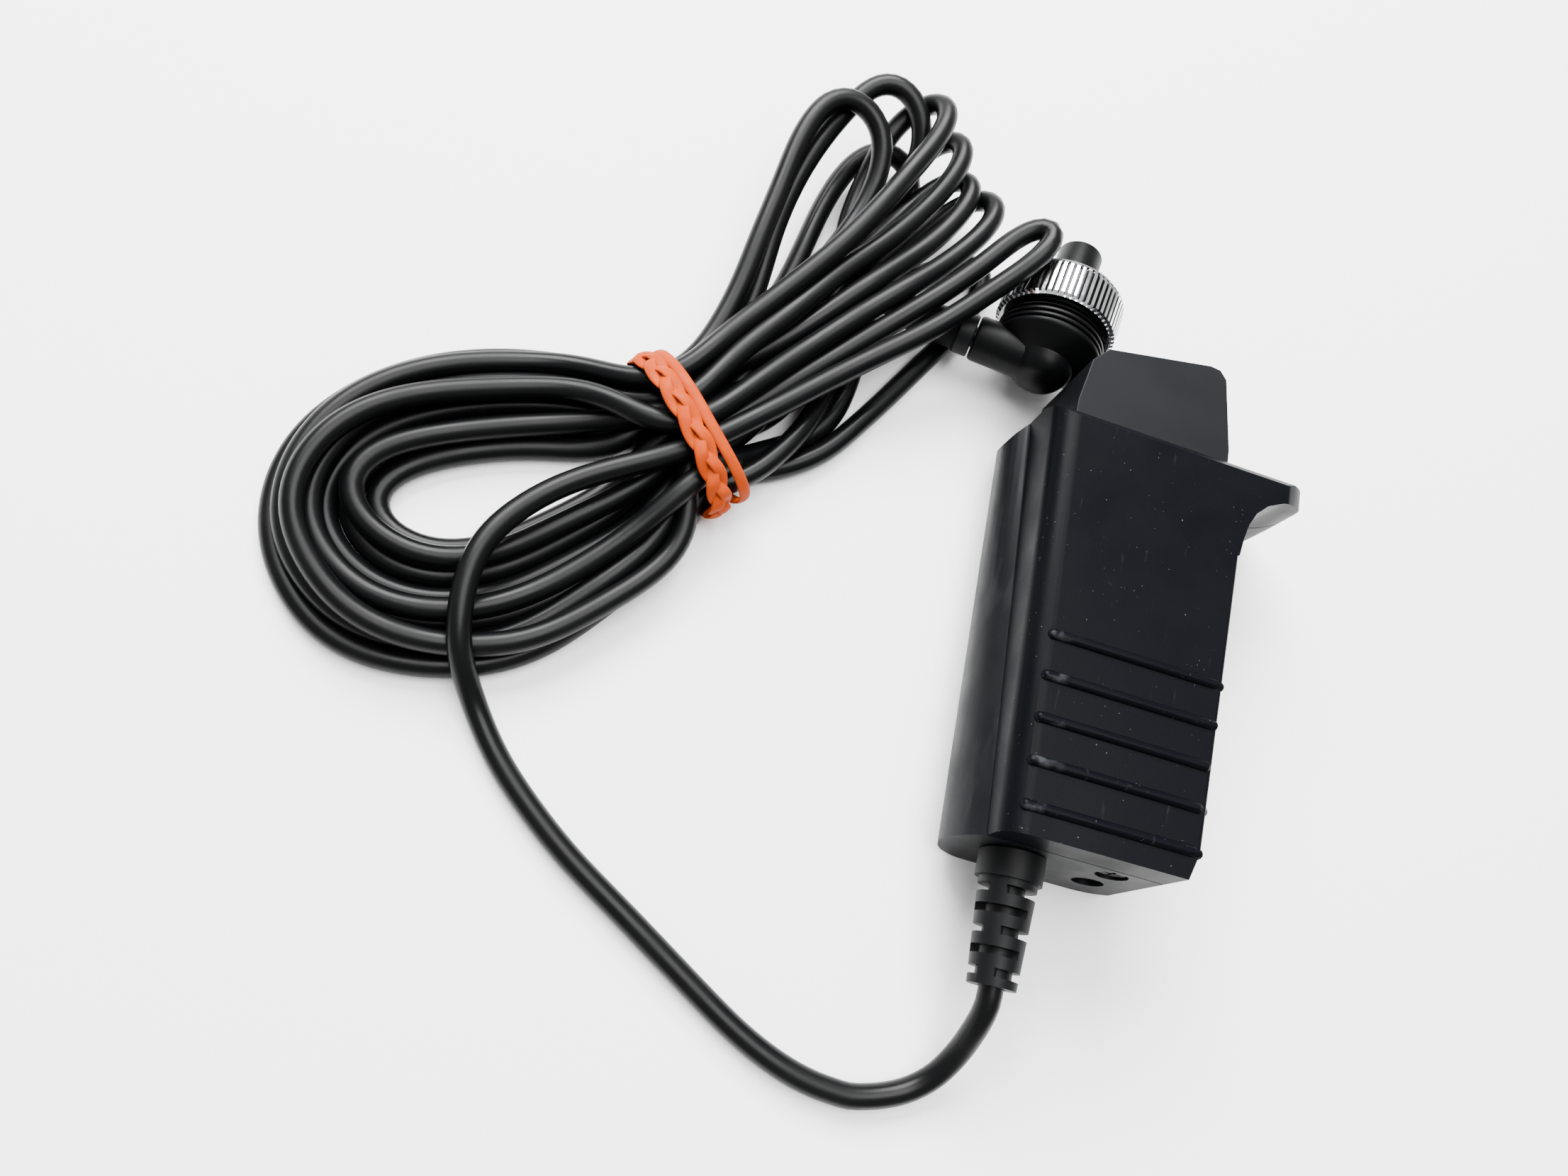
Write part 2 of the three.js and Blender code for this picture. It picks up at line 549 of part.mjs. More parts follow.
function makePlug() {
  const housing = [
    [0, -4.8], [3, -4.6], [4.2, -4], [5, -3.1], [5.5, -2], [6, -0.8], [9.9, 1.8], [10.2, 2.2],
  ];
  for (let i = 0; i < 3; i += 1) {
    const y = 2.2 + i * 1.2;
    housing.push([10.2, y + 0.7], [9.5, y + 0.8], [9.5, y + 1.1], [10.2, y + 1.2]);
  }
  housing.push([10.2, housingEnd], [0, housingEnd]);
  const capSeat = rod('y', 3, -6, -4.1, 16);
  const elbow = turned(housing, 32)
    .add(rod('x', 4.3, -ARM_END, 0, 20))
    .subtract(rod('x', 2.3, -20, -8, 12))
    .subtract(capSeat);
  addPiece('plug_elbow', elbow, blackPlastic, plug);
  addPiece('plug_cap', rod('y', 3 - GAP, -4.6, -4.1 - GAP, 16, 2.4), blackPlastic, plug);
  const collarStart = housingEnd + GAP;
  const sleeveEnd = ringStart + RING_LENGTH + 0.4;
  const collarProfile = [
    [3, collarStart], [8.6, collarStart], [8.6, ringStart + 2.2], [6.4, ringStart + 2.2],
    [6.4, sleeveEnd], [5.6, sleeveEnd], [5.6, ringStart], [3, ringStart], [3, collarStart],
  ];
  addPiece('plug_collar', turned(collarProfile, 24), blackPlastic, plug);

  const bore = 9.1;
  let ring = turned([
    [bore, ringStart], [RING_RADIUS - 0.6, ringStart], [RING_RADIUS, ringStart + 0.5],
    [RING_RADIUS, ringStart + RING_LENGTH - 0.6], [RING_RADIUS - 0.5, ringStart + RING_LENGTH],
    [6.8, ringStart + RING_LENGTH], [6.8, ringStart + 5.5], [bore, ringStart + 4.6], [bore, ringStart],
  ], 48);
  const grooves = 16;
  for (let i = 0; i < grooves; i += 1) {
    const groove = box(
      RING_RADIUS - 0.5, RING_RADIUS + 1, ringStart - 1, ringStart + RING_LENGTH - 1, -0.6, 0.6);
    ring = ring.subtract(groove.rotate([0, (i * 360) / grooves, 0]));
  }
  addPiece('lock_ring', ring, chrome, plug);

  const noseStart = ringStart + 0.4;
  const noseEnd = ringStart + RING_LENGTH + 11;
  const nose = turned([
    [2.6, noseStart], [5.2, noseStart], [5.2, noseStart + 6], [4.3, noseStart + 6.4],
    [4.3, noseEnd - 0.4], [3.9, noseEnd], [3.3, noseEnd], [3.3, noseStart + 9.6],
    [2.6, noseStart + 9.6], [2.6, noseStart],
  ], 24);
  addPiece('plug_nose', nose, blackPlastic, plug);
  let insert = rod('y', 2.8, noseStart + 9.9, noseEnd - 3, 20);
  const pinPlaces = arc(0, 0, 1.5, 1.5, 0, 240, 2);
  for (const [x, z] of pinPlaces) {
    insert = insert.subtract(rod('y', 0.75, 0, 40, 8).translate([x, 0, z]));
  }
  addPiece('pin_insert', insert, innerPlastic, plug);
  pinPlaces.forEach(([x, z], i) => {
    const pin = rod('y', 0.45, noseStart + 8, noseEnd - 0.8, 8);
    addPiece(`contact_pin_${i}`, pin.translate([x, 0, z]), brass, plug);
  });

  const sleeveBore = CORD_RADIUS + GAP;
  const sleeveProfile = [
    [sleeveBore, 0], [4, 0], [4, 3], [3.6, 3.4], [3.1, 15], [sleeveBore, 15], [sleeveBore, 0],
  ];
  const sleeve = turned(sleeveProfile, 16)
    .rotate([0, 0, 90])
    .translate([-ARM_END - GAP, 0, 0]);
  addPiece('plug_sleeve', sleeve, softRubber, plug);
}

makeShells();
makeButton();
makeGuide();
makeSprings();
makeContacts();
makeBoot();
makeClamp();
makeWires();
makeCord();
makePlug();

export default grip;
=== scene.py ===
# Electric remote release cord: a pistol grip, three metres of cord tied with an elastic band, and a
# right-angle plug with a knurled lock ring. Metres, in the row's frame.

import json
import math

import bmesh
import bpy
import numpy as np
from mathutils import Matrix, Vector

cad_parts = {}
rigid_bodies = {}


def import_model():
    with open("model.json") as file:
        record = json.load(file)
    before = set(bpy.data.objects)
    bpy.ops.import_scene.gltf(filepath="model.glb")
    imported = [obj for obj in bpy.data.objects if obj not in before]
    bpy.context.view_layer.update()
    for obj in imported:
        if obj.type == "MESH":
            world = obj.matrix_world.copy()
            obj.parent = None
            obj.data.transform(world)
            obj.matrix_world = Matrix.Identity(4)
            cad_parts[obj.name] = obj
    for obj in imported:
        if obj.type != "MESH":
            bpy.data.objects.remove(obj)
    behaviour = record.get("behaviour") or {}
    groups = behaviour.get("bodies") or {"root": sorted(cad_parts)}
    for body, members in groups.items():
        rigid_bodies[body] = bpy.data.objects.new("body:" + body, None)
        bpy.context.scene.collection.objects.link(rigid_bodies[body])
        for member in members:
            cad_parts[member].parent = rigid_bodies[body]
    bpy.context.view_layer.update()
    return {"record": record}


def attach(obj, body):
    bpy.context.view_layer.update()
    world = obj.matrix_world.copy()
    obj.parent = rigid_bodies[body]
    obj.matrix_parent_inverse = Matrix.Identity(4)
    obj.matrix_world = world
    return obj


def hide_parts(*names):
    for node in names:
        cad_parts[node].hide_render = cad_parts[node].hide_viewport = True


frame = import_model()

MM = 0.001
GRIP_CENTRE = Vector((6.85, 9.6, 0))     # part.mjs draws in millimetres about the grip's middle line
CORD_D = 4.0                             # cord diameter
RING_START = 7.6                         # along the plug's axis
RING_LENGTH = 8.0
RING_RADIUS = 11.4
HOUSING_END = 6.2
ARM_END = 13.4                           # along the side arm
PLUG_AT = (-16.7, 53.7, 11.6)
PLUG_TURN = -0.15                        # the plug's axis leans towards +X
PLUG_ROLL = -0.15                        # and its side arm dips towards the surface
PLUG_PLACE = (Matrix.Translation(PLUG_AT) @ Matrix.Rotation(PLUG_TURN, 4, "Z")
              @ Matrix.Rotation(PLUG_ROLL, 4, "Y"))


def metres(point):
    """A point drawn about the grip's middle line, in millimetres, put in the row's frame."""
    return (Vector(point) - GRIP_CENTRE) * MM


# ------------------------------------------------------------------ camera

CAMERA_AT = Vector((-0.0886, -0.0797, 0.1912))
CAMERA_AIM = Vector((-0.0587, -0.0094, 0.0))
CAMERA_ROLL = math.radians(38.6)
CAMERA_LENS = 26.85


def make_camera():
    data = bpy.data.cameras.new("camera")
    data.sensor_fit = "HORIZONTAL"
    data.sensor_width = 36
    data.lens = CAMERA_LENS
    data.clip_start = 0.01
    camera = bpy.data.objects.new("camera", data)
    bpy.context.scene.collection.objects.link(camera)
    turn = (CAMERA_AIM - CAMERA_AT).to_track_quat("-Z", "Y").to_matrix().to_4x4()
    roll = Matrix.Rotation(CAMERA_ROLL, 4, "Z")
    camera.matrix_world = Matrix.Translation(CAMERA_AT) @ turn @ roll
    bpy.context.scene.camera = camera


make_camera()


# ------------------------------------------------------------------ small helpers

def link(name, data):
    piece = bpy.data.objects.new(name, data)
    bpy.context.scene.collection.objects.link(piece)
    return piece


def lerp(a, b, t):
    return a + (b - a) * t


def smooth_through(points, spacing):
    """Points evenly spaced along a centripetal Catmull-Rom curve through the given ones."""
    points = np.array(points, float)
    ends = np.vstack([2 * points[0] - points[1], points, 2 * points[-1] - points[-2]])
    dense = []
    for i in range(1, len(ends) - 2):
        p0, p1, p2, p3 = ends[i - 1:i + 3]
        t1 = max(np.linalg.norm(p1 - p0), 1e-6) ** 0.5
        t2 = t1 + max(np.linalg.norm(p2 - p1), 1e-6) ** 0.5
        t3 = t2 + max(np.linalg.norm(p3 - p2), 1e-6) ** 0.5
        for t in np.linspace(t1, t2, 24, endpoint=False):
            a1 = (t1 - t) / t1 * p0 + t / t1 * p1
            a2 = (t2 - t) / (t2 - t1) * p1 + (t - t1) / (t2 - t1) * p2
            a3 = (t3 - t) / (t3 - t2) * p2 + (t - t2) / (t3 - t2) * p3
            b1 = (t2 - t) / t2 * a1 + t / t2 * a2
            b2 = (t3 - t) / (t3 - t1) * a2 + (t - t1) / (t3 - t1) * a3
            dense.append((t2 - t) / (t2 - t1) * b1 + (t - t1) / (t2 - t1) * b2)
    dense.append(ends[-2])
    return evenly(np.array(dense), spacing)


def evenly(points, spacing):
    """The same line with its points evenly spaced."""
    steps = np.linalg.norm(np.diff(points, axis=0), axis=1)
    along = np.concatenate([[0], np.cumsum(steps)])
    count = max(2, int(round(along[-1] / spacing)))
    wanted = np.linspace(0, along[-1], count + 1)
    return np.stack([np.interp(wanted, along, points[:, k]) for k in range(3)], axis=1)


# ------------------------------------------------------------------ the cord's route

# The free lead, about the grip's middle line, in millimetres, as in the CAD.
LEAD_ROUTE = [
    (-7.4, -56.9, 13), (-7.3, -60.5, 12.2), (-7.6, -63.8, 9.8), (-8.2, -67.4, 6.6), (-10.4, -71.8, 3.7),
    (-14, -74.9, 2.3), (-18.6, -76.8, 2.1), (-23.7, -77.8, 2.1), (-28.6, -77.6, 2.1),
    (-34.8, -76, 2.1), (-42.2, -72.9, 2.1), (-49.4, -68.8, 2.1), (-58.8, -63.2, 2.1), (-66.6, -58.6, 2.1),
    (-75.2, -53.6, 2.1), (-83.2, -47.7, 2.1), (-89.4, -42.4, 2.2), (-94.6, -36.2, 3), (-97.2, -32.4, 4.4),
]

# The bundle lies along its own X axis, with the tie at its origin.
BUNDLE_AT = (-76, 18.5)
BUNDLE_TURN = math.radians(42.7)

# Where the lead crosses the left lobe to the tie, in the bundle's frame.
LEAD_OVER_LOBE = [
    (-49, -17, 9), (-45, -9.5, 12.8), (-39.5, -3.8, 14), (-31, -0.8, 13.8), (-22, 0, 13.4),
    (-12, -1.4, 13), (-4, -3, 12.6),
]

# Centre lines of the outermost and innermost turns round the left lobe, from the lower side of the
# tie round the tip to the upper side.
LEFT_OUTER = [
    (-10, -15.5), (-27, -19.5), (-42, -19.8), (-55, -14.6), (-63.5, -6), (-66, 4),
    (-65, 14), (-59, 22.5), (-50, 28.7), (-40, 31), (-28, 29.5), (-12, 22.5),
]
LEFT_INNER = [
    (-10, -3), (-25, -3.4), (-37, -3), (-45, 0), (-49.5, 4.6), (-52, 9.8),
    (-52, 14), (-48.5, 16.8), (-42.5, 16.6), (-35, 15), (-25, 12), (-12, 7.5),
]

# Each turn: out over the right lobe, back through the tie at (y, z), round the left lobe at a share of
# the way from inner to outer and a height, both for its lower side, tip and upper side, and back
# through the tie at (y, z).
TURNS = [
    {"right": [(14, -1.6, 13.6), (34, -0.8, 15.5), (50, -1, 18.5), (64, 0, 21.4), (73, 0.2, 23.2),
               (77.4, 1.6, 23.8), (79.6, 4.4, 23.8), (77.6, 7.2, 23), (72.6, 7.4, 21.8), (64, 5.8, 20),
               (54, 4.4, 18), (34, 3.2, 12.6), (15, 1, 9.5)],
     "back": (-1.2, 8.6), "share": (1, 0.85, 0.45), "height": (6, 9, 11), "on": (0.6, 12.6)},
    {"right": [(14, 2, 13), (24, 4.5, 13.8), (38, 7.2, 15), (52, 8.6, 16), (63, 11, 17), (72, 14, 18.5),
               (77, 18.5, 18), (75.5, 23, 14), (68, 22, 11), (50, 16, 8.5), (25, 5, 7)],
     "back": (-5.2, 6.6), "share": (0.8, 0.95, 0.85), "height": (5.6, 6, 7), "on": (8.6, 11.2)},
    {"right": [(15, 12, 14), (29, 16, 17), (45, 21, 20), (61, 28, 22), (71, 33, 23),
               (76, 38.5, 22), (73, 42.5, 17), (65, 40, 12), (50, 26, 6), (38, 8, 5), (24, -5, 5.6),
               (10, -8.5, 6.5)],
     "back": (-9.6, 6.8), "share": (0.95, 1, 1), "height": (2, 2, 3.5), "on": (12.4, 8.6)},
    {"right": [(9, 12.5, 12), (21, 20.5, 15), (28, 27, 17), (37, 35, 19), (46, 43, 21),
               (55, 47, 22), (60, 44, 21), (61, 37, 19), (56, 30, 15), (45, 22, 10), (25, 10, 6)],
     "back": (-1, 5.4), "share": (0.1, 0.2, 0.15), "height": (5.8, 5.8, 7), "on": (4.6, 12.2)},
    {"right": [(14, 10, 13), (28, 13, 15), (40, 16.5, 16), (51, 18.5, 17), (64, 22.5, 18), (73, 27, 19),
               (77.5, 32, 18), (75, 36, 13), (66, 33, 9), (50, 20, 5.5), (38, 4, 5.5), (26, -7.5, 5.6),
               (12, -7.6, 6)],
     "back": (-7.4, 10.4), "share": (0.6, 0.7, 0.65), "height": (9, 6, 6), "on": (6.6, 8.4)},
    {"right": [(12, 8.5, 9), (34, 11, 11.5), (49, 13.5, 13.5), (62, 16, 15), (72, 20, 16),
               (76, 24, 15), (74, 28, 11), (64, 27, 8), (45, 18, 6), (20, 6, 5)],
     "back": (2.8, 8.8), "share": (0, 0, 0), "height": (2, 2, 2), "on": (8.9, 5.4)},
    {"right": [(12, 9, 5), (30, 12, 4), (50, 15, 4), (66, 14, 5), (74.5, 11.5, 6), (70, 6, 4.4),
               (60, 0.8, 3), (50, -2.6, 2.4), (37, -6.4, 2.1), (24, -8.4, 2.1), (11, -8.6, 2.1)],
     "back": (-7.4, 2.1), "share": (0.75, 0.8, 0.8), "height": (2, 2, 2), "on": (12.9, 4.8)},
    {"right": [(17, 14.5, 8), (26, 21.5, 11), (35, 31, 14), (46, 39.5, 17), (59, 46, 19),
               (68, 48, 20), (72, 43, 19), (71, 36, 16), (66, 30, 11), (50, 22, 6), (24, 6, 3)],
     "back": (-3.2, 2.1), "share": (0.5, 0.6, 0.55), "height": (2, 2, 2), "on": (11.2, 2.1)},
    {"right": [(20, 14, 3), (32, 20, 5), (40, 26.5, 7), (51, 35.5, 9), (62, 40.5, 11),
               (69, 39, 11), (70, 33, 8), (60, 26, 3), (40, 14, 2.1), (18, 2, 2.1)],
     "back": (1, 2.1), "share": (0.22, 0.25, 0.28), "height": (2, 2, 2), "on": (2.6, 5.2)},
]
TO_PLUG = [(14, 5, 5), (28, 10, 6), (39, 16.6, 6), (45.4, 13.4, 6.4)]
IN_SLEEVE = (28.7, 20, 12)               # the cord's last points, along the plug's side arm


def left_turn(turn):
    """The points of one turn round the left lobe."""
    points = []
    last = len(LEFT_OUTER) - 1
    for i, (outer, inner) in enumerate(zip(LEFT_OUTER, LEFT_INNER)):
        t = 2 * i / last
        low, high = (0, 1) if t < 1 else (1, 2)
        share = lerp(turn["share"][low], turn["share"][high], t - low)
        height = lerp(turn["height"][low], turn["height"][high], t - low)
        points.append((lerp(inner[0], outer[0], share), lerp(inner[1], outer[1], share), height))
    return points


def from_bundle(points):
    """Points in the bundle's frame, in millimetres, put about the grip's middle line."""
    points = np.array(points, float)
    c, s = math.cos(BUNDLE_TURN), math.sin(BUNDLE_TURN)
    x = BUNDLE_AT[0] + c * points[:, 0] - s * points[:, 1]
    y = BUNDLE_AT[1] + s * points[:, 0] + c * points[:, 1]
    return np.stack([x, y, points[:, 2]], axis=1)


def into_bundle(points):
    """Points about the grip's middle line, in millimetres, put in the bundle's frame."""
    points = np.array(points, float)
    c, s = math.cos(BUNDLE_TURN), math.sin(BUNDLE_TURN)
    x = points[:, 0] - BUNDLE_AT[0]
    y = points[:, 1] - BUNDLE_AT[1]
    return np.stack([c * x + s * y, -s * x + c * y, points[:, 2]], axis=1)


def plug_point(x, y, z=0.0):
    """A point in the plug's own frame, in millimetres, put in the bundle's frame."""
    return into_bundle([tuple(PLUG_PLACE @ Vector((x, y, z)))])[0]


def cord_route():
    """The whole cord before it settles, in the bundle's frame, in millimetres."""
    points = [tuple(p) for p in into_bundle(LEAD_ROUTE)] + LEAD_OVER_LOBE
    for turn in TURNS:
        points += turn["right"]
        points.append((0, *turn["back"]))
        points += left_turn(turn)
        points.append((0, *turn["on"]))
    return points + TO_PLUG + [tuple(plug_point(-x, 0)) for x in IN_SLEEVE]


# ------------------------------------------------------------------ how the cord settles

SPACING = 3.0                            # between points while it settles
TIE_MIDDLE = (1.0, 7.6)                  # the tie's oval, y and z, in the bundle's frame
TIE_HALF = (12.4, 5.9)                   # half sizes for the strands' centre lines
TIE_REACH = 4.0                          # the tie grips the strands this far each side of it
TIE_SPAN = 30.0                          # and only those within this of its middle, sideways
FULL_STEPS = 420
HELD_START = 12                          # points that stay put: in the boot,
HELD_END = 6                             # and in the plug's sleeve
NEAR_SLEEVE = 9                          # the last points, which may touch the plug
NEIGHBOURS = 5                           # points this close along the cord don't push each other
PUSH = 0.55                              # share of an overlap that is undone in one step
HOLD_SIDEWAYS = 0.012                    # HOLD_SIDEWAYS = 0.012 # pull back to the route as given, sideways
HOLD_HEIGHT = 0.006                      # and in height
DROP = 0.03                              # fall in one step, millimetres
STIFFNESS = 0.25                         # share of a change of bend that is undone in one step
STRETCH = 0.25                           # share of a stretch that is undone in one pass
LAST_SMOOTHING = 0.4
SMOOTHING_PASSES = 4
ROD_GAP = 0.1
FLOOR_GAP = 0.05
LINE_SPACING = 1.5                       # between points of the finished cord

# The plug as rods that strands lie against: two ends, x and y in its own frame, and a radius.
PLUG_RODS = [
    ((-28.7, 0), (-13.4, 0), 4.1),
    ((-13.4, 0), (0, 0), 4.8),
    ((0, 2.2), (0, 6.2), 10.3),
    ((0, 8.5), (0, 15), RING_RADIUS),
]


def push_from_rods(points, rods, first, last):
    """Moves the points from first to last out of each rod, given by its ends and its radius."""
    for a, b, radius in rods:
        axis = b - a
        length = np.linalg.norm(axis)
        share = np.clip((points[first:last] - a) @ axis / length ** 2, 0, 1)
        away = points[first:last] - (a + share[:, None] * axis)
        distance = np.maximum(np.linalg.norm(away, axis=1), 1e-6)
        reach = radius + CORD_D / 2 + ROD_GAP
        push = np.clip(reach - distance, 0, None) / distance
        points[first:last] += away * push[:, None]


def settle(route, steps):
    """Lets the cord settle: strands push each other apart, drop to the surface and stay in the tie."""
    points = evenly(smooth_through(route, SPACING / 2), SPACING)
    count = len(points)
    start = points.copy()
    bend = points.copy()
    bend[1:-1] -= (points[:-2] + points[2:]) / 2
    index = np.arange(count)
    free = np.ones(count)
    free[:HELD_START] = 0
    free[-HELD_END:] = 0
    neighbours = np.abs(index[:, None] - index[None, :]) < NEIGHBOURS
    rods = [(plug_point(*a), plug_point(*b), radius) for a, b, radius in PLUG_RODS]
    for _ in range(steps):
        gap = points[:, None, :] - points[None, :, :]
        distance = np.sqrt((gap ** 2).sum(axis=2)) + 1e-9
        near = (distance < CORD_D) & ~neighbours
        push = np.where(near, (CORD_D - distance) / distance, 0)
        weight = np.maximum(near.sum(axis=1), 1)
        shift = PUSH * (gap * push[:, :, None]).sum(axis=1) / weight[:, None]
        shift[:, :2] += HOLD_SIDEWAYS * (start - points)[:, :2]
        shift[:, 2] += HOLD_HEIGHT * (start - points)[:, 2] - DROP
        inner = (points[:-2] + points[2:]) / 2 + bend[1:-1] - points[1:-1]
        shift[1:-1] += STIFFNESS * inner
        points += shift * free[:, None]
        for _ in range(2):
            link_vector = np.diff(points, axis=0)
            length = np.linalg.norm(link_vector, axis=1)
            fix = STRETCH * link_vector * ((length - SPACING) / length)[:, None]
            points[:-1] += fix * free[:-1, None]
            points[1:] -= fix * free[1:, None]
        tied = (np.abs(points[:, 0]) < TIE_REACH) & (np.abs(points[:, 1]) < TIE_SPAN)
        oval = np.stack([(points[:, 1] - TIE_MIDDLE[0]) / TIE_HALF[0],
                         (points[:, 2] - TIE_MIDDLE[1]) / TIE_HALF[1]], axis=1)
        out = np.linalg.norm(oval, axis=1)
        over = tied & (out > 1)
        points[over, 1] = TIE_MIDDLE[0] + oval[over, 0] / out[over] * TIE_HALF[0]
        points[over, 2] = TIE_MIDDLE[1] + oval[over, 1] / out[over] * TIE_HALF[1]
        push_from_rods(points, rods, HELD_START, count - NEAR_SLEEVE)
        points[:, 2] = np.maximum(points[:, 2], CORD_D / 2 + FLOOR_GAP)
    for _ in range(SMOOTHING_PASSES):
        middle = (points[:-2] + points[2:]) / 2 - points[1:-1]
        points[1:-1] += LAST_SMOOTHING * middle * free[1:-1, None]
    return points


def make_cord():
    """The whole cord as one round curve."""
    settled = settle(cord_route(), FULL_STEPS)
    line = from_bundle(smooth_through(settled, LINE_SPACING))
    data = bpy.data.curves.new("cord", "CURVE")
    data.dimensions = "3D"
    data.bevel_depth = CORD_D / 2 * MM
    data.bevel_resolution = 5
    data.use_fill_caps = True
    spline = data.splines.new("POLY")
    spline.points.add(len(line) - 1)
    for point, at in zip(spline.points, line):
        point.co = (*metres(at), 1)
    spline.use_smooth = True
    return link("cord", data)


cord = make_cord()


# ------------------------------------------------------------------ materials

class Shader:
    """One procedural material: a Principled shader with helpers that add nodes in front of it."""

    def __init__(self, name, color, roughness, metallic=0.0, specular=0.5):
        self.material = bpy.data.materials.new(name)
        self.material.use_nodes = True
        self.tree = self.material.node_tree
        self.main = self.tree.nodes["Principled BSDF"]
        self.main.inputs["Base Color"].default_value = (*color, 1)
        self.main.inputs["Roughness"].default_value = roughness
        self.main.inputs["Metallic"].default_value = metallic
        self.main.inputs["Specular IOR Level"].default_value = specular
        self.place = self.tree.nodes.new("ShaderNodeTexCoord").outputs["Object"]

    def node(self, kind, settings=(), **inputs):
        node = self.tree.nodes.new(kind)
        for key, value in dict(settings).items():
            setattr(node, key, value)
        for key, value in inputs.items():
            socket = node.inputs[key.replace("_", " ")]
            if isinstance(value, bpy.types.NodeSocket):
                self.tree.links.new(value, socket)
            else:
                socket.default_value = value
        return node

    def noise(self, scale, detail=3.0, stretch=(1, 1, 1)):
        mapping = self.node("ShaderNodeMapping", Vector=self.place, Scale=stretch)
        return self.node("ShaderNodeTexNoise", Vector=mapping.outputs["Vector"], Scale=scale,
                         Detail=detail).outputs["Fac"]

    def ramp(self, value, low, high, to_low=0.0, to_high=1.0):
        """Maps low to high onto to_low to to_high, and clamps."""
        return self.node("ShaderNodeMapRange", {"clamp": True}, Value=value, From_Min=low, From_Max=high,
                         To_Min=to_low, To_Max=to_high).outputs["Result"]

    def times(self, a, b):
        node = self.tree.nodes.new("ShaderNodeMath")
        node.operation = "MULTIPLY"
        for socket, value in zip(node.inputs, (a, b)):
            if isinstance(value, bpy.types.NodeSocket):
                self.tree.links.new(value, socket)
            else:
                socket.default_value = value
        return node.outputs["Value"]

    def axis(self, name):
        return self.node("ShaderNodeSeparateXYZ", Vector=self.place).outputs[name]

    def mix_color(self, share, other):
        """Mixes another colour over what is there, by a share from 0 to 1."""
        socket = self.main.inputs["Base Color"]
        node = self.tree.nodes.new("ShaderNodeMix")
        node.data_type = "RGBA"
        self.tree.links.new(share, node.inputs["Factor"])
        colors = [i for i in node.inputs if i.type == "RGBA"]
        if socket.is_linked:
            self.tree.links.new(socket.links[0].from_socket, colors[0])
        else:
            colors[0].default_value = socket.default_value
        colors[1].default_value = (*other, 1)
        output = next(o for o in node.outputs if o.type == "RGBA")
        self.tree.links.new(output, socket)

    def set_roughness(self, value):
        self.tree.links.new(value, self.main.inputs["Roughness"])

    def bump(self, height, strength, distance):
        """Adds a bump, in metres, on top of any bump that is there."""
        socket = self.main.inputs["Normal"]
        node = self.node("ShaderNodeBump", Height=height, Strength=strength, Distance=distance)
        if socket.is_linked:
            self.tree.links.new(socket.links[0].from_socket, node.inputs["Normal"])
        self.tree.links.new(node.outputs["Normal"], socket)


def moulded(name, color, low, high, grain=2600.0, grain_height=0.00002, specular=0.5):
    """Moulded plastic or rubber: fine grain, and a sheen that varies slowly."""
    shader = Shader(name, color, (low + high) / 2, specular=specular)
    shader.set_roughness(shader.ramp(shader.noise(90, 4), 0.35, 0.65, low, high))
    shader.bump(shader.noise(grain, 2), 0.35, grain_height)
    return shader


# Where the label face, the ribs' tops and the ribs' left ends begin and are fully reached, in metres.
LABEL_Z = (0.0262, 0.0272)
RIB_TOP_Z = (0.0271, 0.0276)
RIB_END_X = (-0.014, -0.019)


def shell_material():
    """Satin black plastic with faint scratches and dust, worn at the ribs' left ends."""
    shader = moulded("black_shell", (0.0014, 0.0017, 0.0026), 0.32, 0.44, specular=0.035)
    scratch = shader.ramp(shader.noise(900, 6, (1, 0.12, 1)), 0.66, 0.74)
    x = shader.axis("X")
    z = shader.axis("Z")
    top = shader.ramp(z, *LABEL_Z)
    rib_end = shader.times(shader.ramp(z, *RIB_TOP_Z), shader.ramp(x, *RIB_END_X))
    worn = shader.times(rib_end, shader.ramp(shader.noise(420, 5), 0.5, 0.66, 0.0, 0.5))
    shader.mix_color(worn, (0.05, 0.054, 0.058))
    shader.mix_color(shader.times(scratch, shader.times(top, 0.1)), (0.06, 0.062, 0.066))
    dust = shader.ramp(shader.noise(2300, 1), 0.775, 0.79)
    shader.mix_color(shader.times(dust, 0.3), (0.2, 0.2, 0.2))
    return shader.material


def palm_material():
    """Duller charcoal plastic, rubbed by the palm."""
    shader = moulded("grey_shell", (0.0025, 0.0029, 0.0036), 0.4, 0.54, specular=0.1)
    rubbed = shader.times(shader.ramp(shader.noise(300, 6, (1, 0.25, 1)), 0.55, 0.75), 0.3)
    shader.mix_color(rubbed, (0.022, 0.024, 0.026))
    return shader.material


def chrome_material(name, low, high):
    """Polished plating whose roughness varies from low to high."""
    shader = Shader(name, (0.83, 0.84, 0.85), low, 1.0)
    shader.set_roughness(shader.ramp(shader.noise(500, 4), 0.4, 0.7, low, high))
    return shader.material


def band_material():
    """Matt orange rubber, uneven in tone and finely creased."""
    shader = Shader("band_rubber", (0.34, 0.04, 0.0005), 0.6, specular=0.08)
    shade = shader.ramp(shader.noise(260, 4), 0.35, 0.65)
    shader.mix_color(shader.times(shade, 0.5), (0.25, 0.022, 0.0003))
    shader.set_roughness(shader.ramp(shader.noise(600, 4), 0.35, 0.7, 0.45, 0.7))
    shader.bump(shader.noise(1500, 3), 0.4, 0.00006)
    return shader.material


def metal(name, color, roughness):
    shader = Shader(name, color, roughness, 1.0)
    shader.bump(shader.noise(1200, 3), 0.2, 0.00001)
    return shader.material


BLACK_VINYL = (0.0013, 0.0014, 0.0016)


